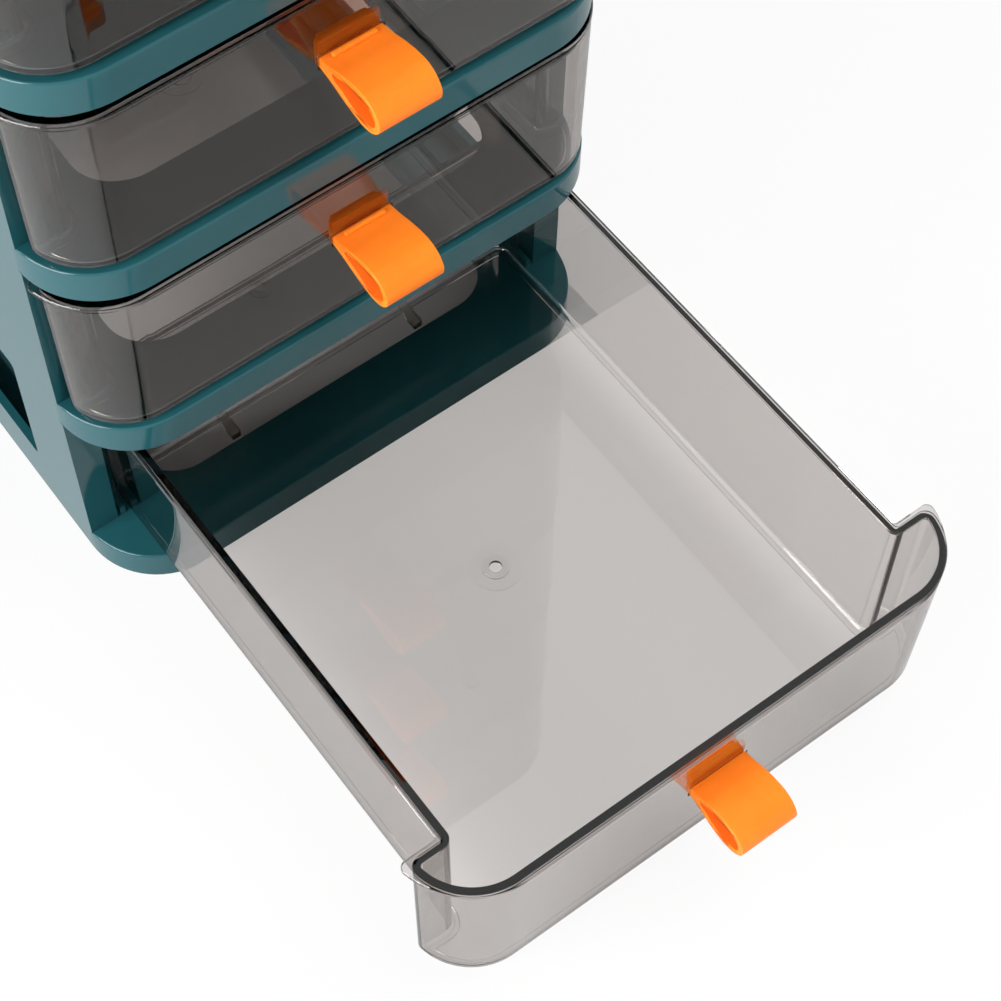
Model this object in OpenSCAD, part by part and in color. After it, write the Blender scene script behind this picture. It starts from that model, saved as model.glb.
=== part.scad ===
// Tower of five smoked drawers in a stack of moulded layer frames.
// X runs across the tower, Y runs from the front to the back and Z runs up.
// The origin is the middle of the base's front rail, on the surface it stands on.

/* [Cabinet] */
// Width of the cabinet over its side walls
frame_w = 170; // [150:1:205]
// Depth of the cabinet from the front band to the back wall
frame_d = 195; // [162:1:235]
// Height from one layer to the next
layer_h = 68.5; // [57:0.5:83]
// Height of the band at the foot of each layer
band_h = 10.5; // [8.5:0.5:13]
// Plan radius of the front corners
front_r = 24; // [22:0.5:29]
// Plan radius of the back corners
back_r = 8; // [5:0.5:12]
// Thickness of the band and the walls
wall_t = 2.5; // [2:0.1:3.2]
// Thickness of the plate in each layer
plate_t = 2.5; // [2:0.1:3.2]
// Height of the top cover
cover_h = 8; // [6.5:0.5:12]
// Width of the flange that closes each front edge of the side walls
flange_w = 9; // [7.5:0.5:11]

/* [Plate opening] */
// Plate left in front of the opening
sill_front = 22.5; // [18:0.5:28]
// Plate left on each side of the opening
sill_side = 24; // [20:0.5:30]
// Plate left behind the opening
sill_back = 6.5; // [5:0.5:9]
// Corner radius of the opening
sill_r = 14; // [10:0.5:18]

/* [Wall windows] */
// Wall left in front of the side windows
window_front = 49; // [40:1:60]
// Wall left behind the side windows
window_rear = 49; // [40:1:60]
// Wall left on each side of the back window
window_side = 30; // [24:1:40]
// Wall left below a window, above the band
window_sill = 8; // [6:0.5:12]
// Wall left above a window
window_head = 4; // [3:0.5:6]
// Corner radius of the windows
window_r = 2; // [1:0.5:7]

/* [Stacking] */
// Height of the tongues that enter the layer above
tongue_h = 4.5; // [3:0.25:5]
// Thickness of the tongues
tongue_t = 2; // [1.5:0.1:2.6]
// Clearance between a tongue and the band round it
tongue_gap = 0.3; // [0.2:0.05:0.5]

/* [Drawer] */
// Thickness of the drawer walls
tray_wall = 2.1; // [1.7:0.1:2.6]
// Thickness of the drawer floor
tray_floor = 2.2; // [1.8:0.1:2.8]
// Clearance between the drawer floor and the plate
glide_gap = 0.3; // [0.2:0.05:0.5]
// Clearance between the drawer rim and the layer above
rim_gap = 2.1; // [1.5:0.1:3.5]
// Distance of the drawer front behind the band's face
front_set = 0.6; // [0.3:0.1:2]
// Distance of the drawer front's ends from the cabinet's sides
front_inset = 1.5; // [1.2:0.1:3]
// Depth of the wide front part that covers the flanges
ear_d = 19.5; // [17:0.5:24]
// Plan radius of the drawer's front corners
ear_r = 19.5; // [16:0.5:19.5]
// Plan radius of the drawer's back corners
tray_back_r = 7; // [4:0.5:10]
// Clearance between the drawer's sides and the flanges
side_gap = 3.2; // [2:0.1:4]
// Clearance between the drawer and the back wall
tray_back_gap = 5.5; // [3:0.5:12]
// How far the rim bead stands out from the walls
bead_out = 0.9; // [0.4:0.1:1.2]
// Height of the rim bead
bead_h = 1.4; // [1:0.1:2]
// Drop of the bead below the rim
bead_drop = 1.2; // [0.8:0.1:2]
// How far the bead stands out at the sides of the wide front part
lip_side = 2.1; // [1.2:0.1:2.6]
// How far the bead stands out behind the wide front part
lip_back = 1.4; // [1.2:0.1:2]
// Clearance between that bead and the flanges
ear_gap = 0.3; // [0.3:0.1:1]

/* [Guide rails] */
// Height of the guide rails on each plate
rail_h = 3; // [2:0.25:5]
// Thickness of the guide rails
rail_t = 1.6; // [1.2:0.1:2]
// Clearance between a guide rail and the drawer
rail_gap = 0.5; // [0.3:0.1:1]

/* [Travel] */
// How far the open bottom drawer stands short of its stop
stop_left = 1.2; // [0.5:0.1:20]
// Distance of each hook from the middle
hook_x = 33; // [20:1:45]
// Thickness of a hook
hook_t = 3; // [2:0.2:4]
// Length of a hook
hook_l = 10; // [8:0.5:14]
// Drop of a hook below the drawer floor
hook_drop = 2.6; // [1.5:0.1:3]
// Clearance left when the hooks reach the plate's sill
stop_gap = 0.4; // [0.3:0.1:1]

/* [Pull] */
// Height of the slot's middle above the foot of its layer
slot_z = 43; // [38:0.5:50]
// Width of the pull's strap
pull_w = 18; // [15:0.2:22]
// Thickness of the pull's strap
strap_t = 1.8; // [1.4:0.1:2.2]
// Clearance between the strap and the slot
slot_gap = 0.1; // [0.05:0.05:0.3]
// How far the loop stands out from the drawer front
loop_l = 24; // [21:0.5:28]
// How much farther in the open drawer's pull is pushed, with its rib inside the slot
push_in = 3; // [2:0.5:4]
// Height of the loop over its outside
loop_h = 11.6; // [9.6:0.2:14]
// Drop of the loop's middle below the slot
loop_drop = 0.5; // [0:0.25:2]
// Thickness of the anchor's plate inside the drawer
head_t = 2; // [1.6:0.1:2.6]
// Height of the anchor's plate
head_h = 8.8; // [7:0.2:11]
// Plate of the anchor below the slot's middle
head_below = 2.4; // [1.8:0.1:3]
// Thickness of the raised pad on the anchor
pad_t = 2; // [1.6:0.1:2.6]
// Edge of the anchor's plate round its pad
pad_edge = 1.6; // [1.2:0.1:2.2]
// Radius of the rib that keeps the strap from slipping in
rib_r = 0.8; // [0.6:0.1:1.2]
// Length of that rib
rib_l = 12; // [8:0.5:15]

/* [Hidden] */

frame_color = [0.28, 0.47, 0.50];
tray_color = [0.45, 0.44, 0.46, 0.6];
pull_color = [1.0, 0.52, 0.12];

layers = 5;
overlap = 0.5;
$fn = 64;

// Cabinet
wall_top = layer_h - band_h;
flange_y = front_set + ear_d + lip_back + ear_gap;
post_d = 8;
inner_w = frame_w - 2 * wall_t;
inner_d = frame_d - 2 * wall_t;
opening_w = frame_w - 2 * flange_w;

// Drawer
tray_w = opening_w - 2 * side_gap;
front_w = frame_w - 2 * front_inset;
tray_back = frame_d - wall_t - tray_back_gap;
tray_z = band_h + glide_gap;
rim_z = layer_h - rim_gap;
tray_h = rim_z - tray_z;
ear_back_r = 3;
lip_r = ear_r + 5;
hook_inset = 0.5;
ear_lap = 5;
rail_x = tray_w / 2 + rail_gap;
hook_y = tray_back - hook_l - hook_inset;
travel = hook_y - stop_gap - sill_front;
pulled_out = travel - stop_left;

// Pull
slot_h = 2 * (strap_t + slot_gap);
slot_w = pull_w + 2 * slot_gap;
loop_r = loop_h / 2;

function layer_z(k) = (k - 1) * layer_h;
function out_by(k) = k == 1 ? pulled_out : 0;
function loop_y(k) = front_set + loop_r - loop_l + (k == 1 ? push_in : 0);

// Rectangle with one radius at the front and another at the back
module plan(w, y0, y1, r_front, r_back) {
    hw = w / 2;
    union() {
        translate([-hw, y0 + r_front]) square([w, y1 - y0 - r_front - r_back]);
        translate([-hw + r_front, y0]) square([w - 2 * r_front, r_front + overlap]);
        translate([-hw + r_back, y1 - r_back - overlap]) square([w - 2 * r_back, r_back + overlap]);
        for (s = [-1, 1]) {
            translate([s * (hw - r_front), y0 + r_front]) circle(r_front);
            translate([s * (hw - r_back), y1 - r_back]) circle(r_back);
        }
    }
}

module frame_plan(inset) {
    plan(frame_w - 2 * inset, inset, frame_d - inset, front_r - inset, back_r - inset);
}

module rounded_window(w, h, r) {
    union() {
        translate([r, 0]) square([w - 2 * r, h]);
        translate([0, r]) square([w, h - 2 * r]);
        for (x = [r, w - r], z = [r, h - r])
            translate([x, z]) circle(r);
    }
}

// Puts the origin in the middle of the base's front rail
module placed() {
    translate([0, -wall_t / 2, 0]) children();
}

// Band and plate at the foot of a layer
module foot_rail(h) {
    difference() {
        linear_extrude(h) frame_plan(0);
        translate([0, 0, -overlap])
            linear_extrude(h - plate_t + overlap) frame_plan(wall_t);
    }
}

module plate_opening() {
    plan(frame_w - 2 * sill_side, sill_front, frame_d - sill_back, sill_r, sill_r);
}

module walls() {
    difference() {
        linear_extrude(wall_top + overlap) difference() {
            frame_plan(0);
            frame_plan(wall_t);
            translate([-frame_w, -frame_d]) square([2 * frame_w, frame_d + flange_y]);
        }
        side_h = wall_top - window_sill - window_head;
        translate([-frame_w, window_front, window_sill + overlap])
            rotate([90, 0, 90])
                linear_extrude(2 * frame_w)
                    rounded_window(frame_d - window_front - window_rear, side_h, window_r);
        translate([-frame_w / 2 + window_side, frame_d + overlap, window_sill + overlap])
            rotate([90, 0, 0])
                linear_extrude(wall_t + 2 * overlap)
                    rounded_window(frame_w - 2 * window_side, side_h, window_r);
    }
}

// Flange and post behind each ear of the drawer
module flanges() {
    for (s = [0, 1]) mirror([s, 0, 0]) translate([-frame_w / 2, flange_y, 0]) {
        cube([flange_w, wall_t, wall_top + overlap]);
        translate([flange_w - wall_t, 0, 0]) cube([wall_t, post_d, wall_top + overlap]);
    }
}

// Each tongue stands beside a window and is joined to the side wall below the joint
module tongues() {
    x = frame_w / 2 - wall_t - tongue_gap;
    y_front = max(flange_y + wall_t, front_r + tongue_gap);
    y_back = frame_d - window_rear + tongue_gap;
    for (s = [0, 1]) mirror([s, 0, 0]) {
        translate([-x, y_front, 0]) tongue(window_front - tongue_gap - y_front);
        translate([-x, y_back, 0]) tongue(frame_d - back_r - tongue_gap - y_back);
    }
}

module tongue(length) {
    root = 3 * tongue_h;
    translate([0, 0, layer_h - root]) cube([tongue_t, length, root + tongue_h]);
    translate([-tongue_gap - overlap, 0, layer_h - root])
        cube([tongue_gap + 2 * overlap, length, root]);
}

module rails() {
    for (s = [0, 1]) mirror([s, 0, 0])
        translate([rail_x, flange_y, band_h - overlap])
            cube([rail_t, frame_d - flange_y - wall_t - sill_back, rail_h + overlap]);
}

module layer_frame(k) {
    color(frame_color) placed() translate([0, 0, layer_z(k)]) union() {
        difference() {
            foot_rail(band_h);
            translate([0, 0, band_h - plate_t - overlap])
                linear_extrude(plate_t + 2 * overlap) plate_opening();
        }
        translate([0, 0, band_h - overlap]) {
            walls();
            flanges();
        }
        tongues();
        rails();
    }
}

module top_cover() {
    color(frame_color) placed() translate([0, 0, layers * layer_h]) foot_rail(cover_h);
}

// Outline of a drawer: a wide front part and a narrower body behind it
module tray_plan(inset) {
    w = front_w - 2 * inset;
    front = front_set + inset;
    ear_back = front_set + ear_d - inset;
    union() {
        intersection() {
            plan(w, front, front + 2 * front_w, ear_r - inset, 1);
            plan(w, front - front_w, ear_back, 1, max(ear_back_r - inset, 0.5));
        }
        plan(tray_w - 2 * inset, ear_back - ear_lap, tray_back - inset, 1, tray_back_r - inset);
    }
}

// Outline of the rim bead, which grows into a lip over each end of the wide front part
module lip_plan() {
    w = front_w + 2 * lip_side;
    front = front_set - bead_out;
    union() {
        tray_plan(-bead_out);
        intersection() {
            plan(w, front, front + 2 * front_w, lip_r, 1);
            plan(w, front - front_w, front_set + ear_d + lip_back, 1, ear_back_r - 1);
        }
    }
}

module hooks() {
    for (s = [-1, 1])
        translate([s * hook_x - hook_t / 2, hook_y, tray_z])
            rotate([90, 0, 90])
                linear_extrude(hook_t)
                    polygon([[0, overlap], [0, -hook_drop], [hook_l * 0.4, -hook_drop], [hook_l, overlap]]);
}

module tray() {
    difference() {
        union() {
            translate([0, 0, tray_z]) linear_extrude(tray_h) tray_plan(0);
            translate([0, 0, rim_z - bead_drop - bead_h]) linear_extrude(bead_h) lip_plan();
        }
        translate([0, 0, tray_z + tray_floor]) linear_extrude(tray_h) tray_plan(tray_wall);
        translate([-slot_w / 2, front_set - tray_wall, slot_z - slot_h / 2])
            cube([slot_w, 3 * tray_wall, slot_h]);
    }
    hooks();
}

module drawer(k) {
    color(tray_color) placed() translate([0, -out_by(k), layer_z(k)]) tray();
}

// Two circles and the band between their outer tangents
module teardrop_2d(big_r, small_r, big, small) {
    d = big - small;
    dist = norm(d);
    lean = atan2(d[1], d[0]);
    spread = acos((big_r - small_r) / dist);
    union() {
        translate(big) circle(big_r);
        translate(small) circle(small_r);
        polygon([
            big + big_r * [cos(lean + 180 - spread), sin(lean + 180 - spread)],
            small + small_r * [cos(lean + 180 - spread), sin(lean + 180 - spread)],
            small + small_r * [cos(lean + 180 + spread), sin(lean + 180 + spread)],
            big + big_r * [cos(lean + 180 + spread), sin(lean + 180 + spread)]
        ]);
    }
}

module pull_side(k) {
    big = [loop_y(k), slot_z - loop_drop];
    neck = [front_set - strap_t, slot_z];
    difference() {
        teardrop_2d(loop_r, strap_t, big, neck);
        teardrop_2d(loop_r - strap_t, 0.3, big, neck - [1.5 * strap_t, 0]);
    }
    translate([neck[0], slot_z - strap_t])
        square([strap_t + tray_wall + head_t / 2, 2 * strap_t]);
    translate([front_set + tray_wall, slot_z - head_below])
        square([head_t, head_h]);
}

module pad() {
    translate([-pull_w / 2 + pad_edge, front_set + tray_wall, slot_z - head_below + pad_edge])
        cube([pull_w - 2 * pad_edge, head_t + pad_t, head_h - 2 * pad_edge]);
}

module pull(k) {
    color(pull_color) placed() translate([0, -out_by(k), layer_z(k)]) union() {
        translate([-pull_w / 2, 0, 0])
            rotate([90, 0, 90])
                linear_extrude(pull_w) pull_side(k);
        pad();
        if (k > 1)
            translate([-rib_l / 2, front_set - rib_r - slot_gap, slot_z + strap_t])
                rotate([0, 90, 0]) cylinder(h = rib_l, r = rib_r);
    }
}

layer_frame(1);  // layer_frame_1
layer_frame(2);  // layer_frame_2
layer_frame(3);  // layer_frame_3
layer_frame(4);  // layer_frame_4
layer_frame(5);  // layer_frame_5
top_cover();
drawer(1);  // drawer_1
drawer(2);  // drawer_2
drawer(3);  // drawer_3
drawer(4);  // drawer_4
drawer(5);  // drawer_5
pull(1);  // pull_1
pull(2);  // pull_2
pull(3);  // pull_3
pull(4);  // pull_4
pull(5);  // pull_5
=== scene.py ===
"""Five-drawer desktop organizer: looks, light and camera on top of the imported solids."""
import math

import bmesh
import bpy
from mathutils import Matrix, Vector


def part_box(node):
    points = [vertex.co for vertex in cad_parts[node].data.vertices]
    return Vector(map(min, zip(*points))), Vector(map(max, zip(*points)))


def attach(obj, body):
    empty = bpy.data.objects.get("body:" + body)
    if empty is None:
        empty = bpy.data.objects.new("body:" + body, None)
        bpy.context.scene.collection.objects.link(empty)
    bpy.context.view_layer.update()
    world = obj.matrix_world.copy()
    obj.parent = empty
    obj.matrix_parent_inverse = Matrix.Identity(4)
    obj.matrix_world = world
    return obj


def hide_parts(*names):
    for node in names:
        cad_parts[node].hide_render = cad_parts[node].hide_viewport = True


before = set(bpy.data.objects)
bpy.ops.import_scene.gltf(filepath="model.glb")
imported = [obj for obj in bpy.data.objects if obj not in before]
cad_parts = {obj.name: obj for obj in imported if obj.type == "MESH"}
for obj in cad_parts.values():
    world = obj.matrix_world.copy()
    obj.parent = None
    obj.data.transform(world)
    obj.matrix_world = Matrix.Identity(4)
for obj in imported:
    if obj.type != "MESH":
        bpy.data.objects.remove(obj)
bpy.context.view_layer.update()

bl_info = {
    "name": "Five-drawer Organizer",
    "version": (1, 0, 0),
    "blender": (4, 5, 0),
    "location": "View3D > Sidebar > Organizer",
    "description": "Moulded frames, clear drawers and silicone pulls of a desktop drawer tower",
    "category": "Object",
}

# Lengths are in metres
MM = 0.001
LEVELS = 5
TRAY_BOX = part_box("drawer_2")
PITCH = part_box("layer_frame_2")[0][2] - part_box("layer_frame_1")[0][2]
OUT_BY = TRAY_BOX[0][1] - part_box("drawer_1")[0][1]

# How near counts as the same place, and what is merged or flattened
SAME_PLACE = 0.00001
DOUBLES = 0.000005
SLIVER = 0.000004
STRAP_DOUBLES = 0.00002
FLAT_ANGLE = math.radians(0.3)

# How many faces a round has, the last ones in plan from the front corner to the back one
BAND_STEPS = 4
SOFT_STEPS = 3
FINE_STEPS = 2
FILLET_STEPS = 6
DISC_SIDES = 48
FRONT_STEPS, EAR_STEPS, BODY_STEPS, BACK_STEPS = 32, 14, 12, 16

# Sizes of the frames
BAND_DEPTH = 21.5 * MM
EDGE_ANGLE = math.radians(50)

# Sizes of the drawers
BEAD = 0.9 * MM
FLOOR_RISE = 10.8 * MM
LEAST_CORNER = 0.4 * MM
ROOM_EAR = 1.0 * MM
LIP_CORNER = 5 * MM
LIP_EAR = 2 * MM
RAIL_EASE = 0.15 * MM
FOOT_EASE = 0.35 * MM
BEAD_EASE = 0.25 * MM
RIM_EASE = 0.2 * MM
SMALL_ROUND = 0.3 * MM

# The slot's room round the strap, its cutter's reach, and where its outer edge is looked for
SLOT_SIDES = 0.4 * MM
SLOT_HEIGHT = 0.1 * MM
SLOT_DEPTHS = (-1 * MM, 6 * MM)
MOUTH_DEPTH = 2 * MM
MOUTH_LEVEL = 0.5 * MM

# The stop hooks: place, size, distance from the drawer's back end, reach into the floor
HOOK_X = 33 * MM
HOOK_SIZE = (3 * MM, 10 * MM, 2.6 * MM)
HOOK_BACK = 1.2 * MM
HOOK_SINK = 1.2 * MM
HOOK_SLOPE = 6 * MM

# Marks of the moulding gates: place behind the front, then domes as radius and height
GATE_PLACE = (0.7 * MM, 94.5 * MM)
GATE_RADIUS = 1.9 * MM
PIT_HEIGHT = 2 * MM
PIT_RISE = 0.2 * MM
GATE_DOMES = ((4 * GATE_RADIUS, 0.12 * MM), (2.1 * GATE_RADIUS, 0.5 * MM))
SPECK_PLACE = (-26 * MM, 70 * MM)
SPECK_DOMES = ((2.4 * MM, 0.12 * MM),)
DOME_ROUND = 0.8
DISC_HEIGHT = 1.0 * MM

# The strap's bend from the side, in mm behind the drawer's face and above the slot's middle
STRAP_END = 3.0
STRAP_OUTSIDE = (
    (-4.0, 2.6), (-9.2, 4.2), (-14.4, 5.1), (-18.6, 4.8), (-22.0, 2.4), (-23.3, -1.0),
    (-21.4, -4.5), (-17.4, -6.1), (-12.6, -5.6), (-7.4, -4.0), (-3.0, -2.5),
)
STRAP_INSIDE = (
    (-4.2, 0.3), (-6.6, 1.3), (-10.4, 2.6), (-14.6, 3.3), (-18.0, 3.0), (-20.6, 1.2),
    (-21.4, -1.0), (-20.2, -3.2), (-17.2, -4.2), (-13.2, -3.8), (-8.6, -2.0),
)
STRAP_SMOOTHNESS = 6

# From this far in front of the face on, in mm, a loop that is pushed in moves the whole way
WHOLE_PUSH = 12.0

# The lumps on a strap: how much narrower than it on each side, depths and heights as above
LUMPS = {
    "head": {"narrower": 0.02, "depths": (2.1, 4.1), "heights": (-2.4, 6.4), "round": 0.7},
    "step": {"narrower": 1.6, "depths": (3.5, 6.1), "heights": (-0.8, 5.0), "round": 0.9},
    "rib": {"narrower": 2.6, "depths": (-1.9, -0.3), "heights": (1.2, 3.1), "round": 0.6},
}

# Looks and stage
WHITE = (1, 1, 1, 1)
NOISE_LOW, NOISE_HIGH = 0.3, 0.7
TABLE_SIZE = 6.0
AIM = (0, -0.05, 0.1)
LAMPS = {
    "key_lamp": {"spot": (0.6, -0.3, 1.45), "size": 1.2, "power": 20.0, "shows": False},
    "side_lamp": {"spot": (-1.3, -0.1, 0.7), "size": 1.0, "power": 38.0, "shows": True},
    "front_lamp": {"spot": (0.1, -1.3, 0.25), "size": 0.8, "power": 5.5, "shows": False},
}
SENSOR_WIDTH = 36
NEAR_CLIP = 0.01


# Selection and mesh helpers

def take(*things):
    """Leave edit mode and select only these objects, the first one active."""
    if bpy.context.object and bpy.context.object.mode != "OBJECT":
        bpy.ops.object.mode_set(mode="OBJECT")
    bpy.ops.object.select_all(action="DESELECT")
    for thing in things:
        thing.select_set(True)
    if things:
        bpy.context.view_layer.objects.active = things[0]


def settle(obj):
    """Put the object's place, turn and scale into its mesh."""
    take(obj)
    bpy.ops.object.transform_apply(location=True, rotation=True, scale=True)
    return obj


def block(name, low, high):
    """A box between two corners, in metres."""
    take()
    centre = [(a + b) / 2 for a, b in zip(low, high)]
    size = [b - a for a, b in zip(low, high)]
    bpy.ops.mesh.primitive_cube_add(size=1, location=centre, scale=size)
    obj = bpy.context.object
    obj.name = name
    return settle(obj)


def pick(obj, kind, test):
    """Enter edit mode with only the vertices, edges or faces that pass the test selected."""
    take(obj)
    bpy.ops.object.mode_set(mode="EDIT")
    bpy.ops.mesh.select_mode(type=kind)
    bpy.ops.mesh.select_all(action="DESELECT")
    mesh = bmesh.from_edit_mesh(obj.data)
    parts = {"VERT": mesh.verts, "EDGE": mesh.edges, "FACE": mesh.faces}[kind]
    chosen = [part for part in parts if test(part)]
    for part in chosen:
        part.select_set(True)
    bmesh.update_edit_mesh(obj.data)
    if not chosen:
        raise RuntimeError(f"nothing to select on {obj.name}")


def leave():
    """Go back from edit mode."""
    bpy.ops.object.mode_set(mode="OBJECT")


def round_edges(obj, test, radius, segments):
    """Bevel the edges that pass the test to a round of this radius."""
    pick(obj, "EDGE", test)
    bpy.ops.mesh.bevel(
        offset=radius, offset_type="OFFSET", segments=segments, profile=0.5, affect="EDGES")
    leave()


def clean(obj):
    """Merge doubles and give each flat side one face."""
    take(obj)
    bpy.ops.object.mode_set(mode="EDIT")
    bpy.ops.mesh.select_all(action="SELECT")
    bpy.ops.mesh.remove_doubles(threshold=DOUBLES)
    bpy.ops.mesh.dissolve_limited(angle_limit=FLAT_ANGLE)
    leave()


def drop_slivers(obj):
    """Split the faces into triangles, drop those without area and turn them outward."""
    take(obj)
    bpy.ops.object.mode_set(mode="EDIT")
    bpy.ops.mesh.select_all(action="SELECT")
    bpy.ops.mesh.remove_doubles(threshold=SLIVER)
    bpy.ops.mesh.quads_convert_to_tris(quad_method="BEAUTY", ngon_method="BEAUTY")
    bpy.ops.mesh.dissolve_degenerate(threshold=SLIVER)
    bpy.ops.mesh.normals_make_consistent(inside=False)
    leave()


def combine(obj, other, operation):
    """Join another closed mesh to this one, or cut it out, and delete the other."""
    take(obj)
    bpy.ops.object.modifier_add(type="BOOLEAN")
    modifier = obj.modifiers[-1]
    modifier.object = other
    modifier.operation = operation
    modifier.solver = "EXACT"
    bpy.ops.object.modifier_apply(modifier=modifier.name)
    take(other)
    bpy.ops.object.delete()
    take(obj)


def shift(obj, offset):
    """Move the object's mesh."""
    take(obj)
    bpy.ops.transform.translate(value=offset)
    return settle(obj)


def copy_of(obj, name):
    """A second object with its own mesh."""
    take(obj)
    bpy.ops.object.duplicate(linked=False)
    twin = bpy.context.object
    twin.name = name
    twin.data.name = name
    return twin


def smooth(obj, degrees):
    """Shade smooth, with creases above this angle kept."""
    take(obj)
    bpy.ops.object.shade_smooth_by_angle(angle=math.radians(degrees))


def flatten(obj):
    """Keep the shading of large flat faces flat beside small rounds."""
    take(obj)
    bpy.ops.object.modifier_add(type="WEIGHTED_NORMAL")
    modifier = obj.modifiers[-1]
    modifier.weight = 100
    modifier.keep_sharp = True
    bpy.ops.object.modifier_apply(modifier=modifier.name)


def sharp(edge, degrees=30):
    """True if the edge's two faces turn by more than this angle."""
    return edge.is_manifold and edge.calc_face_angle() > math.radians(degrees)


def along_x(edge):
    """True if the edge runs across the drawers."""
    a, b = (v.co for v in edge.verts)
    return abs(a.x - b.x) > 1 * MM


def at_height(edge, z):
    """True if both ends of the edge lie at this height."""
    return all(abs(v.co.z - z) < 2 * SAME_PLACE for v in edge.verts)


def dress(obj, material):
    """Give the object this one material."""
    obj.data.materials.clear()
    obj.data.materials.append(material)


# Material helpers

def new_material(name):
    """A material with nothing in it but its output."""
    material = bpy.data.materials.new(name)
    material.use_nodes = True
    tree = material.node_tree
    tree.nodes.clear()
    return material, tree, add(tree, "OutputMaterial")


def add(tree, kind, values=None):
    """A new node of this kind, with these values on its sockets."""
    made = tree.nodes.new(f"ShaderNode{kind}")
    for socket, value in (values or {}).items():
        made.inputs[socket].default_value = value
    return made


def plug(tree, node, sources):
    """Link each source to the node's socket of that name."""
    for socket, source in sources.items():
        tree.links.new(source, node.inputs[socket])


def noise(tree, scale, detail):
    """Noise on the piece's own coordinates."""
    place = add(tree, "TexCoord")
    grain = add(tree, "TexNoise", {"Scale": scale, "Detail": detail})
    plug(tree, grain, {"Vector": place.outputs["Object"]})
    return grain.outputs["Fac"]


def spread(tree, source, low, high):
    """Map a noise to a range of values."""
    span = add(tree, "MapRange", {
        "From Min": NOISE_LOW, "From Max": NOISE_HIGH, "To Min": low, "To Max": high})
    plug(tree, span, {"Value": source})
    return span.outputs["Result"]


def tint(tree, source, color, dark, pale):
    """Map a noise to the colour times its dark factors and times its pale ones."""
    ramp = add(tree, "ValToRGB")
    ends = zip(ramp.color_ramp.elements, (NOISE_LOW, NOISE_HIGH), (dark, pale))
    for end, position, factors in ends:
        end.position = position
        end.color = [part * factor for part, factor in zip(color, factors)] + [1]
    plug(tree, ramp, {"Fac": source})
    return ramp.outputs["Color"]


def relief(tree, source, strength, distance):
    """Fine bumps from a noise."""
    bump = add(tree, "Bump", {"Strength": strength, "Distance": distance})
    plug(tree, bump, {"Height": source})
    return bump.outputs["Normal"]


def reckon(tree, operation, *terms):
    """A Math node over these terms, each a socket or a number."""
    made = add(tree, "Math")
    made.operation = operation
    for socket, term in zip(made.inputs, terms):
        if isinstance(term, bpy.types.NodeSocket):
            tree.links.new(term, socket)
        else:
            socket.default_value = term
    return made.outputs["Value"]


def blend(tree, share, first, second):
    """The first shader where the share is 0 and the second where it is 1."""
    mix = add(tree, "MixShader")
    tree.links.new(share, mix.inputs["Fac"])
    tree.links.new(first, mix.inputs[1])
    tree.links.new(second, mix.inputs[2])
    return mix.outputs["Shader"]


# Materials

def frame_material(look):
    """Glossy teal plastic with a slight unevenness."""
    material, tree, out = new_material("teal_plastic")
    shader = add(tree, "BsdfPrincipled", {"IOR": 1.5, "Specular IOR Level": 0.35})
    tone = noise(tree, 14.0, 3.0)
    plug(tree, shader, {
        "Base Color": tint(tree, tone, look.frame_color, (0.94, 0.95, 0.95), (1.06, 1.05, 1.05)),
        "Roughness": spread(tree, noise(tree, 60.0, 4.0), 0.07, 0.11),
        "Normal": relief(tree, noise(tree, 900.0, 2.0), 0.03, 0.0002),
    })
    plug(tree, out, {"Surface": shader.outputs["BSDF"]})
    return material


def tray_material(look):
    """Clear smoked plastic: glass with absorption, which lets the lamps through."""
    material, tree, out = new_material("smoked_plastic")
    glass = add(tree, "BsdfPrincipled", {
        "Base Color": WHITE, "Transmission Weight": 1.0, "IOR": 1.52, "Specular IOR Level": 0.45})
    plug(tree, glass, {
        "Roughness": spread(tree, noise(tree, 40.0, 3.0), 0.0, 0.012),
        "Normal": relief(tree, noise(tree, 9.0, 1.0), 0.02, 0.001),
    })
    clear = add(tree, "BsdfTransparent", {"Color": (0.53, 0.52, 0.51, 1)})
    ray = add(tree, "LightPath").outputs
    smoke = add(tree, "VolumeAbsorption", {
        "Color": look.smoke_color[:] + (1.0,), "Density": look.smoke_density})
    plug(tree, out, {
        "Surface": blend(tree, ray["Is Shadow Ray"], glass.outputs["BSDF"], clear.outputs["BSDF"]),
        "Volume": smoke.outputs["Volume"],
    })
    return material


def pull_material(look):
    """Matt orange silicone that the light enters a little."""
    material, tree, out = new_material("orange_silicone")
    shader = add(tree, "BsdfPrincipled", {
        "IOR": 1.42, "Specular IOR Level": 0.35, "Subsurface Weight": 0.5,
        "Subsurface Scale": 0.006, "Subsurface Radius": (1.0, 0.35, 0.1)})
    tone = noise(tree, 120.0, 3.0)
    haze = noise(tree, 400.0, 2.0)
    plug(tree, shader, {
        "Base Color": tint(tree, tone, look.pull_color, (0.96, 0.95, 0.9), (1, 1.05, 1.1)),
        "Roughness": spread(tree, haze, 0.42, 0.52),
        "Normal": relief(tree, haze, 0.06, 0.0001),
    })
    plug(tree, out, {"Surface": shader.outputs["BSDF"]})
    return material


def white_share_with_painted_shade(tree, share):
    """The plain white's share, with none of it on the table that the cabinet stands over: a painted
    shade under the cabinet's footprint.
    """
    low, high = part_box("layer_frame_1")
    split = add(tree, "SeparateXYZ")
    plug(tree, split, {"Vector": add(tree, "TexCoord").outputs["Object"]})
    covered = []
    for axis, name in enumerate("XY"):
        offset = reckon(tree, "SUBTRACT", split.outputs[name], (low[axis] + high[axis]) / 2)
        distance = reckon(tree, "ABSOLUTE", offset)
        covered.append(reckon(tree, "LESS_THAN", distance, (high[axis] - low[axis]) / 2))
    bare = reckon(tree, "SUBTRACT", 1.0, reckon(tree, "MULTIPLY", *covered))
    return reckon(tree, "MULTIPLY", bare, share)


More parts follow.
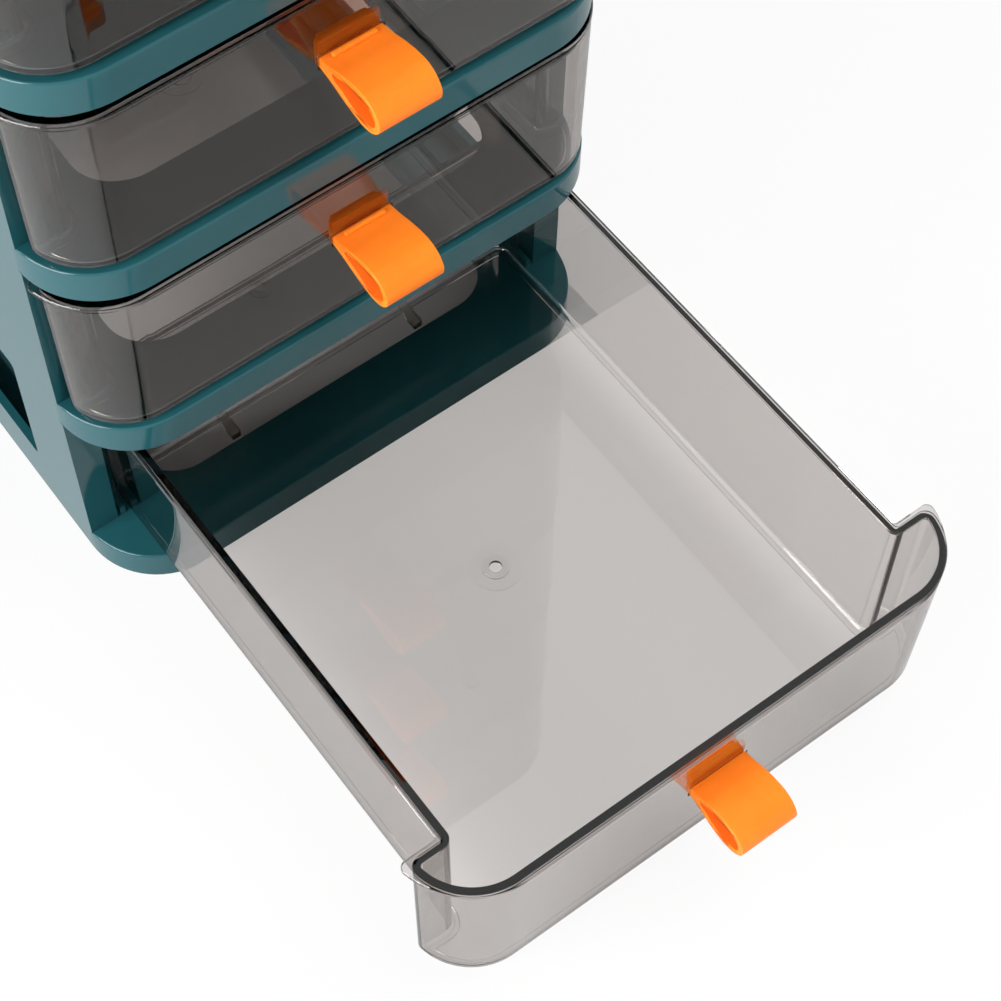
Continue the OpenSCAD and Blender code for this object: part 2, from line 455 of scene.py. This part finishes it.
def floor_material(look):
    """A grey table that keeps shadows, with plain white added for the camera and the plastic; seen
    through the plastic, the white is left out under the cabinet as a painted shade.
    """
    material, tree, out = new_material("white_table")
    matt = add(tree, "BsdfDiffuse", {"Color": (0.64, 0.64, 0.64, 1)})
    plain = add(tree, "Emission", {"Color": WHITE, "Strength": 1.0})
    ray = add(tree, "LightPath").outputs
    seen = reckon(tree, "MULTIPLY", ray["Is Camera Ray"], look.floor_share)
    # Through the plastic the table under the cabinet gets no white: painted shade under the cabinet
    through = white_share_with_painted_shade(tree, look.through_share)
    share = reckon(tree, "MULTIPLY_ADD", ray["Is Transmission Ray"], through, seen)
    plug(tree, out, {
        "Surface": blend(tree, share, matt.outputs["BSDF"], plain.outputs["Emission"])})
    return material


# Settings

class OrganizerFrame(bpy.types.PropertyGroup):
    """Sizes and colour of the moulded layer frames."""
    frame_color: bpy.props.FloatVectorProperty(
        name="Plastic colour", description="Colour of the frames and the cover", subtype="COLOR",
        default=(0.012, 0.078, 0.092), min=0, max=1)
    band_round: bpy.props.FloatProperty(
        name="Band edge", description="Radius of the front band's upper edge", unit="LENGTH",
        default=0.7 * MM)
    fine_round: bpy.props.FloatProperty(
        name="Fine edge", description="Radius of the other moulded edges", unit="LENGTH",
        default=0.4 * MM)
    band_height: bpy.props.FloatProperty(
        name="Band height", description="Height of the band at the foot of a layer", unit="LENGTH",
        default=10.5 * MM)


class OrganizerTray(bpy.types.PropertyGroup):
    """Sizes and colour of the clear drawers."""
    smoke_color: bpy.props.FloatVectorProperty(
        name="Smoke colour", description="Colour that the smoked plastic lets through",
        subtype="COLOR", default=(0.595, 0.555, 0.53), min=0, max=1)
    smoke_density: bpy.props.FloatProperty(
        name="Smoke density", description="How strongly the plastic darkens with thickness",
        default=465.0)
    wall: bpy.props.FloatProperty(
        name="Wall", description="Thickness of the drawer's walls", unit="LENGTH",
        default=2.1 * MM)
    floor: bpy.props.FloatProperty(
        name="Floor", description="Thickness of the drawer's floor", unit="LENGTH",
        default=2.2 * MM)
    bead: bpy.props.FloatProperty(
        name="Bead", description="How far the rim bead stands out", unit="LENGTH",
        default=BEAD)
    bead_low: bpy.props.FloatProperty(
        name="Bead foot", description="Drop from the rim to the bead's lower edge", unit="LENGTH",
        default=2.6 * MM)
    bead_high: bpy.props.FloatProperty(
        name="Bead top", description="Drop from the rim to the bead's upper edge", unit="LENGTH",
        default=1.2 * MM)
    front_half: bpy.props.FloatProperty(
        name="Front half width", description="Half the width of the drawer's front", unit="LENGTH",
        default=83.5 * MM)
    corner_round: bpy.props.FloatProperty(
        name="Inner corners", description="Radius where the body meets the ears", unit="LENGTH",
        default=0.8 * MM)
    front_radius: bpy.props.FloatProperty(
        name="Front corners", description="Plan radius of the front corners", unit="LENGTH",
        default=19.5 * MM)
    ear_radius: bpy.props.FloatProperty(
        name="Ear corners", description="Plan radius behind the ears", unit="LENGTH",
        default=3.0 * MM)
    lip_side: bpy.props.FloatProperty(
        name="Lip at the ears", description="How far the bead stands out beside the ears",
        unit="LENGTH", default=2.1 * MM)
    lip_back: bpy.props.FloatProperty(
        name="Lip behind the ears", description="How far the bead stands out behind the ears",
        unit="LENGTH", default=1.4 * MM)
    back_radius: bpy.props.FloatProperty(
        name="Back corners", description="Plan radius of the back corners", unit="LENGTH",
        default=7.0 * MM)
    ear_depth: bpy.props.FloatProperty(
        name="Front depth", description="Depth of the wide front part", unit="LENGTH",
        default=19.5 * MM)
    body_half: bpy.props.FloatProperty(
        name="Body half width", description="Half the width of the body behind the ears",
        unit="LENGTH", default=72.8 * MM)
    foot_slope: bpy.props.FloatProperty(
        name="Foot edge", description="Size of the slope along the lower outer edge",
        unit="LENGTH", default=2.4 * MM)
    rail_width: bpy.props.FloatProperty(
        name="Foot rail", description="Width of the rail round the floor's underside",
        unit="LENGTH", default=1.5 * MM)
    recess: bpy.props.FloatProperty(
        name="Underside", description="Depth of the underside within the rail", unit="LENGTH",
        default=0.5 * MM)
    room_round: bpy.props.FloatProperty(
        name="Inner fillet", description="Radius where the walls meet the floor inside",
        unit="LENGTH", default=1.2 * MM)
    draft: bpy.props.FloatProperty(
        name="Draft", description="How much narrower the floor is than the rim on each side",
        unit="LENGTH", default=0.7 * MM)


class OrganizerPull(bpy.types.PropertyGroup):
    """Sizes and colour of the silicone pulls."""
    pull_color: bpy.props.FloatVectorProperty(
        name="Silicone colour", description="Colour of the pulls", subtype="COLOR",
        default=(1.0, 0.21, 0.014), min=0, max=1)
    strap: bpy.props.FloatProperty(
        name="Strap", description="Thickness of the strap", unit="LENGTH", default=1.8 * MM)
    width: bpy.props.FloatProperty(
        name="Width", description="Width of the strap", unit="LENGTH", default=18.0 * MM)
    push_in: bpy.props.FloatProperty(
        name="Push in", description="How much farther in the open drawer's pull is pushed",
        unit="LENGTH", default=3.0 * MM)
    slot_height: bpy.props.FloatProperty(
        name="Slot height", description="Height of the slot's middle above its layer's foot",
        unit="LENGTH", default=43.0 * MM)


class OrganizerStage(bpy.types.PropertyGroup):
    """Camera, lamps and table."""
    azimuth: bpy.props.FloatProperty(
        name="Azimuth", description="Where the camera stands round the object", unit="ROTATION",
        default=math.radians(-33.06))
    elevation: bpy.props.FloatProperty(
        name="Elevation", description="How far the camera looks down", unit="ROTATION",
        default=math.radians(59.6))
    roll: bpy.props.FloatProperty(
        name="Roll", description="Turn of the camera about its view", unit="ROTATION",
        default=math.radians(-3.0))
    spot: bpy.props.FloatVectorProperty(
        name="Camera place", description="Where the camera is", subtype="XYZ", unit="LENGTH",
        default=(-0.1984, -0.31015, 0.5983))
    lens: bpy.props.FloatProperty(
        name="Lens", description="Focal length in millimetres", default=84.78)
    shift_x: bpy.props.FloatProperty(
        name="Shift X", description="Sideways shift of the picture", default=0.1132)
    shift_y: bpy.props.FloatProperty(
        name="Shift Y", description="Upward shift of the picture", default=-0.0007)
    floor_share: bpy.props.FloatProperty(
        name="Table white", description="Share of plain white in the bare table", default=0.9)
    through_share: bpy.props.FloatProperty(
        name="Table white through plastic",
        description="Share of plain white in the table seen through plastic", default=0.59)
    world_strength: bpy.props.FloatProperty(
        name="World", description="Strength of the even light", default=0.25)
    gloss_share: bpy.props.FloatProperty(
        name="White in gloss", description="How white the surroundings are in reflections",
        default=1.0)


SETTINGS = {
    "organizer_frame": OrganizerFrame,
    "organizer_tray": OrganizerTray,
    "organizer_pull": OrganizerPull,
    "organizer_stage": OrganizerStage,
}


# Frames

def moulded_copy(node, name):
    """A merged copy of a CAD node with one face on each flat side."""
    take(bpy.data.objects[node])
    bpy.ops.object.duplicate(linked=False)
    obj = bpy.context.object
    obj.name = name
    obj.data = obj.data.copy()
    obj.data.name = name
    clean(obj)
    return obj


class ORGANIZER_OT_frames(bpy.types.Operator):
    """Round the moulded edges of the five layer frames and the cover"""
    bl_idname = "organizer.frames"
    bl_label = "Layer frames and cover"

    def execute(self, context):
        look = context.scene.organizer_frame
        plastic = frame_material(look)
        for level in range(1, LEVELS + 1):
            node = f"layer_frame_{level}"
            obj = moulded_copy(node, f"moulded_frame_{level}")
            self.round_band(obj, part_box(node)[0], look)
            self.finish(obj, node, plastic, look)
        obj = moulded_copy("top_cover", "moulded_cover")
        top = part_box("top_cover")[1][2]
        round_edges(obj, lambda e: sharp(e) and at_height(e, top), look.band_round, BAND_STEPS)
        self.finish(obj, "top_cover", plastic, look)
        return {"FINISHED"}

    def round_band(self, obj, low, look):
        """Round the upper outer edge of the band, in front of the side walls."""
        top = low[2] + look.band_height
        front = low[1] + BAND_DEPTH

        def band_edge(edge):
            if not (sharp(edge) and at_height(edge, top)):
                return False
            upright = any(abs(face.normal.z) < 0.1 for face in edge.link_faces)
            return upright and all(v.co.y < front for v in edge.verts)

        round_edges(obj, band_edge, look.band_round, BAND_STEPS)

    def finish(self, obj, node, plastic, look):
        """Round the other edges, and put the piece in its CAD node's place."""
        take(obj)
        bpy.ops.object.modifier_add(type="BEVEL")
        modifier = obj.modifiers[-1]
        modifier.width = look.fine_round
        modifier.segments = FINE_STEPS
        modifier.limit_method = "ANGLE"
        modifier.angle_limit = EDGE_ANGLE
        bpy.ops.object.modifier_apply(modifier=modifier.name)
        drop_slivers(obj)
        smooth(obj, degrees=30)
        flatten(obj)
        dress(obj, plastic)
        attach(obj, "cabinet")
        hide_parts(node)


# Drawers

def arc(centre, radius, start, end, steps):
    """Points along part of a circle, angles in degrees."""
    angles = [math.radians(start + (end - start) * k / steps) for k in range(steps + 1)]
    return [(centre[0] + radius * math.cos(a), centre[1] + radius * math.sin(a)) for a in angles]


def outline(half, front, radius, ear_back, ear_radius, side, back, inner_corner, back_radius):
    """A wide front with rounded ears and a narrower body, as one loop of points."""
    turn = (half - radius, front + radius)
    rise = ear_back - ear_radius - turn[1]
    reach = math.sqrt((radius - ear_radius) ** 2 - rise ** 2)
    meet = math.degrees(math.atan2(rise, reach))
    ear = (turn[0] + reach, turn[1] + rise)
    corner = (side + inner_corner, ear_back + inner_corner)
    right = arc(turn, radius, -90, meet, FRONT_STEPS)
    right += arc(ear, ear_radius, meet, 90, EAR_STEPS)[1:]
    right += arc(corner, inner_corner, 270, 180, BODY_STEPS)
    right += arc((side - back_radius, back - back_radius), back_radius, 0, 90, BACK_STEPS)
    return right + [(-x, y) for x, y in reversed(right)]


def tray_ring(look, inset, ear_radius, inner_corner):
    """The drawer's outline taken in by inset."""
    front = TRAY_BOX[0][1] + look.bead
    return outline(
        look.front_half - inset, front + inset, look.front_radius - inset,
        front + look.ear_depth - inset, ear_radius, look.body_half - inset,
        TRAY_BOX[1][1] - look.bead - inset, inner_corner, look.back_radius - inset)


def lip_ring(look, inset):
    """The bead's outline: a lip over each ear and an even bead along the body."""
    low, high = TRAY_BOX
    front = low[1] + look.bead
    return outline(
        look.front_half + look.lip_side - inset, low[1] + inset,
        look.front_radius + LIP_CORNER - inset, front + look.ear_depth + look.lip_back - inset,
        LIP_EAR - inset, look.body_half + look.bead - inset, high[1] - inset, look.corner_round,
        look.back_radius - inset)


def tray_rings(look, floor_low, rim):
    """Rings with their heights: from the underside up the outside, over the rim and down inside."""
    rings = []
    foot, wall, fillet = look.foot_slope, look.wall, look.room_round
    floor_top = floor_low + look.floor

    def taper(z):
        return look.draft * (rim - z) / (rim - floor_low)

    def outer(inset, z):
        ear, corner = max(look.ear_radius - inset, LEAST_CORNER), look.corner_round + inset
        rings.append((tray_ring(look, inset, ear, corner), z))

    def inner(inset, z):
        ear, corner = max(ROOM_EAR - inset, LEAST_CORNER), look.corner_round + wall + inset
        rings.append((tray_ring(look, wall + inset, ear, corner), z))

    rail, recess, ease = foot + look.rail_width, look.recess, RAIL_EASE
    for inset, z in (
        (rail + ease, recess), (rail, recess - ease), (rail, ease), (rail - ease, 0),
        (foot, 0), (foot, FOOT_EASE), (FOOT_EASE, foot), (0, foot),
    ):
        outer(taper(floor_low + z) + inset, floor_low + z)
    low, high, ease = rim - look.bead_low, rim - look.bead_high, BEAD_EASE
    outer(taper(low), low)
    for inset, z in ((ease, low), (0, low + ease), (0, high - ease), (ease, high)):
        rings.append((lip_ring(look, inset), z))
    outer(taper(high), high)
    rounded = ((0, RIM_EASE), (0.3 * RIM_EASE, 0.3 * RIM_EASE), (RIM_EASE, 0))
    for inset, drop in rounded:
        outer(inset, rim - drop)
    for inset, drop in reversed(rounded):
        inner(-inset, rim - drop)
    for k in range(FILLET_STEPS + 1):
        turn = math.radians(90 * k / FILLET_STEPS)
        z = floor_top + fillet * (1 - math.sin(turn))
        inner(taper(z) + fillet * (1 - math.cos(turn)), z)
    return rings


def skin(name, rings):
    """One closed mesh through rings with as many points each."""
    mesh = bpy.data.meshes.new(name)
    shape = bmesh.new()
    loops = [[shape.verts.new((x, y, z)) for x, y in ring] for ring, z in rings]
    for below, above in zip(loops, loops[1:]):
        for k in range(len(below)):
            n = (k + 1) % len(below)
            shape.faces.new((below[k], below[n], above[n], above[k]))
    shape.faces.new(list(reversed(loops[0])))
    shape.faces.new(loops[-1])
    shape.to_mesh(mesh)
    shape.free()
    obj = bpy.data.objects.new(name, mesh)
    bpy.context.collection.objects.link(obj)
    return obj


def disc(radius, depth, spot):
    """An upright cylinder round this spot."""
    take()
    bpy.ops.mesh.primitive_cylinder_add(
        vertices=DISC_SIDES, radius=radius, depth=depth, location=spot)
    return settle(bpy.context.object)


class ORGANIZER_OT_trays(bpy.types.Operator):
    """Mould one clear drawer and copy it into each layer"""
    bl_idname = "organizer.trays"
    bl_label = "Clear drawers"

    def execute(self, context):
        look = context.scene.organizer_tray
        plastic = tray_material(look)
        tray = self.mould(look, context.scene.organizer_pull)
        smooth(tray, degrees=35)
        flatten(tray)
        dress(tray, plastic)
        for level in range(1, LEVELS + 1):
            obj = copy_of(tray, f"clear_tray_{level}")
            shift(obj, (0, -OUT_BY if level == 1 else 0, (level - 2) * PITCH))
            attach(obj, f"tray_{level}")
            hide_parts(f"drawer_{level}")
        take(tray)
        bpy.ops.object.delete()
        return {"FINISHED"}

    def mould(self, look, pull):
        """The second layer's drawer, pushed in."""
        low, high = TRAY_BOX
        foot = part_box("layer_frame_2")[0][2]
        floor_low = foot + FLOOR_RISE
        tray = skin("tray", tray_rings(look, floor_low, high[2]))
        self.cut_slot(tray, pull, foot)
        for side in (-1, 1):
            self.add_hook(tray, side * HOOK_X, floor_low)
        front, floor_top = low[1] + look.bead, floor_low + look.floor
        x, y = GATE_PLACE
        self.add_domes(tray, (x, front + y, floor_top), GATE_DOMES)
        self.sink_pit(tray, (x, front + y, floor_top), GATE_RADIUS)
        x, y = SPECK_PLACE
        self.add_domes(tray, (x, front + y, floor_top), SPECK_DOMES)
        return tray

    def add_domes(self, tray, spot, domes):
        """Low rounded discs on the floor, one over the other."""
        x, y, top = spot
        for radius, height in domes:
            dome = disc(radius, DISC_HEIGHT, (x, y, top + height - DISC_HEIGHT / 2))
            round_edges(
                dome, lambda e: sharp(e) and e.verts[0].co.z > top, DOME_ROUND * height,
                SOFT_STEPS)
            combine(tray, dome, "UNION")

    def sink_pit(self, tray, spot, radius):
        """The round pit that the moulding gate leaves in its dome."""
        x, y, top = spot
        pit = disc(radius, PIT_HEIGHT, (x, y, top + PIT_RISE))
        round_edges(
            pit, lambda e: sharp(e) and e.verts[0].co.z < top, SMALL_ROUND, SOFT_STEPS)
        combine(tray, pit, "DIFFERENCE")

    def cut_slot(self, tray, pull, foot):
        """The slot that the pull's strap goes through, with its outer edge rounded."""
        nose = TRAY_BOX[0][1]
        middle = foot + pull.slot_height
        half = pull.width / 2 + SLOT_SIDES
        rise = pull.strap + SLOT_HEIGHT
        start, end = (nose + depth for depth in SLOT_DEPTHS)
        slot = block("slot", (-half, start, middle - rise), (half, end, middle + rise))
        combine(tray, slot, "DIFFERENCE")

        def in_mouth(point):
            across, up = abs(point.x), abs(point.z - middle)
            in_front = point.y < nose + MOUTH_DEPTH
            return in_front and across < half + SAME_PLACE and up < rise + SLOT_HEIGHT

        def outer_edge(edge):
            a, b = (v.co for v in edge.verts)
            level = abs(a.y - b.y) < MOUTH_LEVEL
            return sharp(edge, 60) and level and in_mouth(a) and in_mouth(b)

        round_edges(tray, outer_edge, SMALL_ROUND, FINE_STEPS)

    def add_hook(self, tray, x, floor_low):
        """A sloping stop below the floor's back end."""
        width, length, drop = HOOK_SIZE
        end = TRAY_BOX[1][1] - HOOK_BACK
        hook = block(
            "hook", (x - width / 2, end - length, floor_low - drop),
            (x + width / 2, end, floor_low + HOOK_SINK))
        pick(hook, "VERT", lambda v: v.co.y > end - SAME_PLACE and v.co.z < floor_low)
        bpy.ops.transform.translate(value=(0, -HOOK_SLOPE, 0))
        leave()
        round_edges(hook, lambda e: sharp(e, 20), SMALL_ROUND, FINE_STEPS)
        combine(tray, hook, "UNION")


# Pulls

class ORGANIZER_OT_pulls(bpy.types.Operator):
    """Bend one silicone strap into a loop, add its head and rib, and copy it to each drawer"""
    bl_idname = "organizer.pulls"
    bl_label = "Silicone pulls"

    def execute(self, context):
        look = context.scene.organizer_pull
        rubber = pull_material(look)
        pulls = [self.mould(look, level) for level in (1, 2)]
        for pull in pulls:
            drop_slivers(pull)
            smooth(pull, degrees=40)
            flatten(pull)
            dress(pull, rubber)
        for level in range(3, LEVELS + 1):
            pull = copy_of(pulls[1], f"silicone_pull_{level}")
            pulls.append(shift(pull, (0, 0, (level - 2) * PITCH)))
        for level, pull in enumerate(pulls, 1):
            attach(pull, f"tray_{level}")
            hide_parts(f"pull_{level}")
        return {"FINISHED"}

    def mould(self, look, level):
        """One pull. The open drawer's is pushed in farther and shows no rib."""
        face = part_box(f"drawer_{level}")[0][1] + BEAD
        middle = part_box(f"layer_frame_{level}")[0][2] + look.slot_height
        half = look.width / 2
        pushed = look.push_in / MM if level == 1 else 0
        pull = self.bend_strap(face, middle, half, look.strap / MM, pushed)
        for name, sizes in LUMPS.items():
            if name != "rib" or level > 1:
                combine(pull, self.lump(name, sizes, face, middle, half), "UNION")
        pull.name = pull.data.name = f"silicone_pull_{level}"
        return pull

    def bend_strap(self, face, middle, half, thick, pushed):
        """A flat curve with a hole, seen from the side, thickened across the drawer."""
        take()
        bpy.ops.curve.primitive_bezier_circle_add()
        strap = bpy.context.object
        strap.name = "strap"
        curve = strap.data
        curve.splines.clear()
        upper, lower = [(STRAP_END, thick), (0.0, thick)], [(0.0, -thick), (STRAP_END, -thick)]
        for points in (upper + list(STRAP_OUTSIDE) + lower, STRAP_INSIDE):
            line = curve.splines.new("BEZIER")
            line.use_cyclic_u = True
            line.bezier_points.add(len(points) - 1)
            for point, (y, z) in zip(line.bezier_points, points):
                taken_in = pushed * min(1, -y / WHOLE_PUSH) if y < 0 else 0
                point.co = (face + (y + taken_in) * MM, middle + z * MM, 0)
                handle = "AUTO" if y < 0 else "VECTOR"
                point.handle_left_type = point.handle_right_type = handle
        curve.dimensions = "2D"
        curve.fill_mode = "BOTH"
        curve.resolution_u = STRAP_SMOOTHNESS
        curve.extrude = half
        strap.rotation_euler = (math.pi / 2, 0, math.pi / 2)
        take(strap)
        bpy.ops.object.convert(target="MESH")
        strap = settle(bpy.context.object)
        bpy.ops.object.mode_set(mode="EDIT")
        bpy.ops.mesh.select_all(action="SELECT")
        bpy.ops.mesh.remove_doubles(threshold=STRAP_DOUBLES)
        bpy.ops.mesh.normals_make_consistent(inside=False)
        leave()
        round_edges(
            strap, lambda e: sharp(e, 60) and not along_x(e), SMALL_ROUND, SOFT_STEPS)
        return strap

    def lump(self, name, sizes, face, middle, half):
        """One of the strap's lumps: a block across it with all edges rounded."""
        side = half - sizes["narrower"] * MM
        depths = [face + depth * MM for depth in sizes["depths"]]
        heights = [middle + height * MM for height in sizes["heights"]]
        obj = block(name, (-side, depths[0], heights[0]), (side, depths[1], heights[1]))
        round_edges(obj, lambda e: True, sizes["round"] * MM, SOFT_STEPS)
        return obj


# Stage

class ORGANIZER_OT_stage(bpy.types.Operator):
    """Set the table, the lamps, the world and the camera"""
    bl_idname = "organizer.stage"
    bl_label = "Stage"

    def execute(self, context):
        look = context.scene.organizer_stage
        self.add_table(look)
        self.add_world(look)
        self.add_lamps()
        self.add_camera(look)
        context.scene.view_settings.view_transform = "Standard"
        return {"FINISHED"}

    def add_table(self, look):
        """A wide flat table below the cabinet."""
        take()
        bpy.ops.mesh.primitive_plane_add(size=TABLE_SIZE, location=(0, 0, 0))
        table = settle(bpy.context.object)
        table.name = "table"
        dress(table, floor_material(look))

    def add_world(self, look):
        """Even light, which the camera, gloss and plastic see as plain white."""
        world = bpy.data.worlds.new("studio")
        bpy.context.scene.world = world
        world.use_nodes = True
        tree = world.node_tree
        tree.nodes.clear()
        out = add(tree, "OutputWorld")
        light = add(tree, "Background", {"Color": WHITE, "Strength": look.world_strength})
        plain = add(tree, "Background", {"Color": WHITE, "Strength": 1.0})
        ray = add(tree, "LightPath").outputs
        gloss = reckon(tree, "MULTIPLY", ray["Is Glossy Ray"], look.gloss_share)
        seen = reckon(tree, "MAXIMUM", ray["Is Camera Ray"], gloss)
        share = reckon(tree, "MAXIMUM", seen, ray["Is Transmission Ray"])
        sky = blend(tree, share, light.outputs["Background"], plain.outputs["Background"])
        plug(tree, out, {"Surface": sky})

    def add_lamps(self):
        """Soft lamps at the right, the left and in front; only the left one shows in gloss."""
        for name, lamp in LAMPS.items():
            take()
            bpy.ops.object.light_add(type="AREA", location=lamp["spot"])
            obj = bpy.context.object
            obj.name = obj.data.name = name
            obj.data.shape = "SQUARE"
            obj.data.size = lamp["size"]
            obj.data.energy = lamp["power"]
            obj.visible_glossy = obj.visible_transmission = lamp["shows"]
            aim = Vector(AIM) - Vector(lamp["spot"])
            obj.rotation_euler = aim.to_track_quat("-Z", "Y").to_euler()

    def add_camera(self, look):
        """The photograph's camera, placed by azimuth, elevation and roll."""
        azimuth, elevation, roll = look.azimuth, look.elevation, look.roll
        back = Vector((
            math.sin(azimuth) * math.cos(elevation),
            -math.cos(azimuth) * math.cos(elevation),
            math.sin(elevation)))
        right = Vector((math.cos(azimuth), math.sin(azimuth), 0))
        up = back.cross(right)
        side = right * math.cos(roll) + up * math.sin(roll)
        rise = up * math.cos(roll) - right * math.sin(roll)
        take()
        bpy.ops.object.camera_add(location=look.spot)
        camera = bpy.context.object
        camera.name = "camera"
        turn = camera.matrix_world.to_3x3()
        turn.col[0], turn.col[1], turn.col[2] = side, rise, back
        camera.rotation_euler = turn.to_euler()
        camera.data.sensor_fit = "HORIZONTAL"
        camera.data.sensor_width = SENSOR_WIDTH
        camera.data.lens = look.lens
        camera.data.shift_x = look.shift_x
        camera.data.shift_y = look.shift_y
        camera.data.clip_start = NEAR_CLIP
        camera.data.dof.use_dof = False
        bpy.context.scene.camera = camera


class ORGANIZER_PT_panel(bpy.types.Panel):
    """Buttons and sizes of the drawer organizer"""
    bl_label = "Organizer"
    bl_idname = "ORGANIZER_PT_panel"
    bl_space_type = "VIEW_3D"
    bl_region_type = "UI"
    bl_category = "Organizer"

    def draw(self, context):
        layout = self.layout
        for operator in OPERATORS:
            layout.operator(operator.bl_idname)
        for name, group in SETTINGS.items():
            box = layout.box()
            for prop in group.__annotations__:
                box.prop(getattr(context.scene, name), prop)


OPERATORS = (ORGANIZER_OT_frames, ORGANIZER_OT_trays, ORGANIZER_OT_pulls, ORGANIZER_OT_stage)
CLASSES = tuple(SETTINGS.values()) + OPERATORS + (ORGANIZER_PT_panel,)


def register():
    for cls in CLASSES:
        bpy.utils.register_class(cls)
    for name, group in SETTINGS.items():
        setattr(bpy.types.Scene, name, bpy.props.PointerProperty(type=group))


def unregister():
    for name in SETTINGS:
        delattr(bpy.types.Scene, name)
    for cls in reversed(CLASSES):
        bpy.utils.unregister_class(cls)


def main():
    register()
    bpy.ops.organizer.frames()
    bpy.ops.organizer.trays()
    bpy.ops.organizer.pulls()
    bpy.ops.organizer.stage()
    take()
    bpy.context.view_layer.update()


if __name__ == "__main__":
    main()
